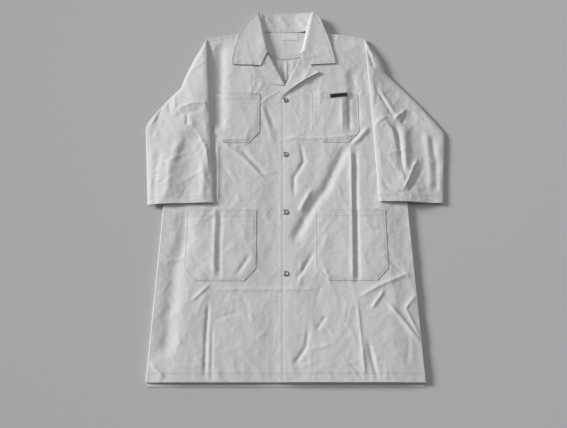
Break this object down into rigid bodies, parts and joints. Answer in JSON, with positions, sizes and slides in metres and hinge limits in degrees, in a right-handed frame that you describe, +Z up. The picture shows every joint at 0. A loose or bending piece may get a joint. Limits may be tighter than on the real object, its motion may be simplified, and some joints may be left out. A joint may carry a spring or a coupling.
{
  "type": "lab coat",
  "caption": "Knee-length white lab coat lying flat on its back and snapped shut, with a notched collar, patch pockets and long sleeves brought down beside the body.",
  "frame": {"origin": "middle of the footprint, on the surface that the coat lies on", "axes": "+X to the wearer's left, +Y from the hem to the collar, +Z up through the front"},
  "size_m": [0.85, 1.1, 0.0241],
  "materials": {
    "cloth": "white polyester and cotton twill, matt",
    "neck_label": "white woven label, blank",
    "chest_label": "black woven label, blank",
    "snap_metal": "nickel-plated snap fastener, lightly worn"
  },
  "bodies": {
    "root": {"back_left": "cloth", "back_neck_facing": "cloth", "back_right": "cloth", "back_vent_underlap": "cloth", "chest_label": "chest_label", "collar_back": "cloth", "left_armhole_seam": "cloth", "left_breast_pocket_side": "cloth", "left_collar_stand": "cloth", "left_front_side": "cloth", "left_lower_pocket_side": "cloth", "left_shoulder_seam": "cloth", "left_side_seam": "cloth", "neck_label": "neck_label", "right_armhole_seam": "cloth", "right_breast_pocket_side": "cloth", "right_collar_stand": "cloth", "right_front_side": "cloth", "right_lower_pocket_side": "cloth", "right_shoulder_seam": "cloth", "right_side_seam": "cloth", "under_collar_back": "cloth"},
    "left_front": {"left_breast_pocket": "cloth", "left_facing": "cloth", "left_front": "cloth", "left_lapel": "cloth", "left_lower_pocket": "cloth", "snap_cap_1": "snap_metal", "snap_cap_2": "snap_metal", "snap_cap_3": "snap_metal", "snap_cap_4": "snap_metal", "snap_socket_1": "snap_metal", "snap_socket_2": "snap_metal", "snap_socket_3": "snap_metal", "snap_socket_4": "snap_metal"},
    "right_front": {"right_breast_pocket": "cloth", "right_facing": "cloth", "right_front": "cloth", "right_lapel": "cloth", "right_lower_pocket": "cloth", "snap_stud_1": "snap_metal", "snap_stud_2": "snap_metal", "snap_stud_3": "snap_metal", "snap_stud_4": "snap_metal"},
    "left_collar": {"left_collar_leaf": "cloth", "left_under_collar": "cloth"},
    "right_collar": {"right_collar_leaf": "cloth", "right_under_collar": "cloth"},
    "left_sleeve": {"left_sleeve_seam": "cloth", "left_top_sleeve": "cloth", "left_under_sleeve": "cloth"},
    "right_sleeve": {"right_sleeve_seam": "cloth", "right_top_sleeve": "cloth", "right_under_sleeve": "cloth"},
    "left_forearm": {"left_forearm_seam": "cloth", "left_top_forearm": "cloth", "left_under_forearm": "cloth"},
    "right_forearm": {"right_forearm_seam": "cloth", "right_top_forearm": "cloth", "right_under_forearm": "cloth"}
  },
  "joints": [
    {"name": "left_front_open", "type": "hinge", "parent": "root", "child": "left_front", "pos_m": [0.075, 0.366, 0.0223], "axis": [-0.1823, 0.9832, 0], "range_deg": [0, 150]},
    {"name": "right_front_open", "type": "hinge", "parent": "root", "child": "right_front", "pos_m": [-0.127, 0.366, 0.0164], "axis": [-0.1823, -0.9832, 0], "range_deg": [0, 90]},
    {"name": "left_collar_turn", "type": "hinge", "parent": "root", "child": "left_collar", "pos_m": [0.026, 0.411, 0.01585], "axis": [-0.1907, -0.9817, 0], "range_deg": [0, 100]},
    {"name": "right_collar_turn", "type": "hinge", "parent": "root", "child": "right_collar", "pos_m": [-0.078, 0.411, 0.00995], "axis": [-0.1907, 0.9817, 0], "range_deg": [0, 100]},
    {"name": "left_sleeve_swing", "type": "hinge", "parent": "root", "child": "left_sleeve", "pos_m": [0.209, 0.46, 0.0201], "axis": [0, 0, 1], "range_deg": [0, 20]},
    {"name": "right_sleeve_swing", "type": "hinge", "parent": "root", "child": "right_sleeve", "pos_m": [-0.261, 0.46, 0.0201], "axis": [0, 0, -1], "range_deg": [0, 20]},
    {"name": "left_elbow_straighten", "type": "hinge", "parent": "left_sleeve", "child": "left_forearm", "pos_m": [0.425, 0.147, 0.0201], "axis": [0, 0, 1], "range_deg": [0, 35]},
    {"name": "right_elbow_straighten", "type": "hinge", "parent": "right_sleeve", "child": "right_forearm", "pos_m": [-0.425, 0.172, 0.0201], "axis": [0, 0, -1], "range_deg": [0, 35]}
  ],
  "couplings": [
    {"joint": "right_front_open", "follows": "left_front_open", "ratio": 0.6}
  ]
}
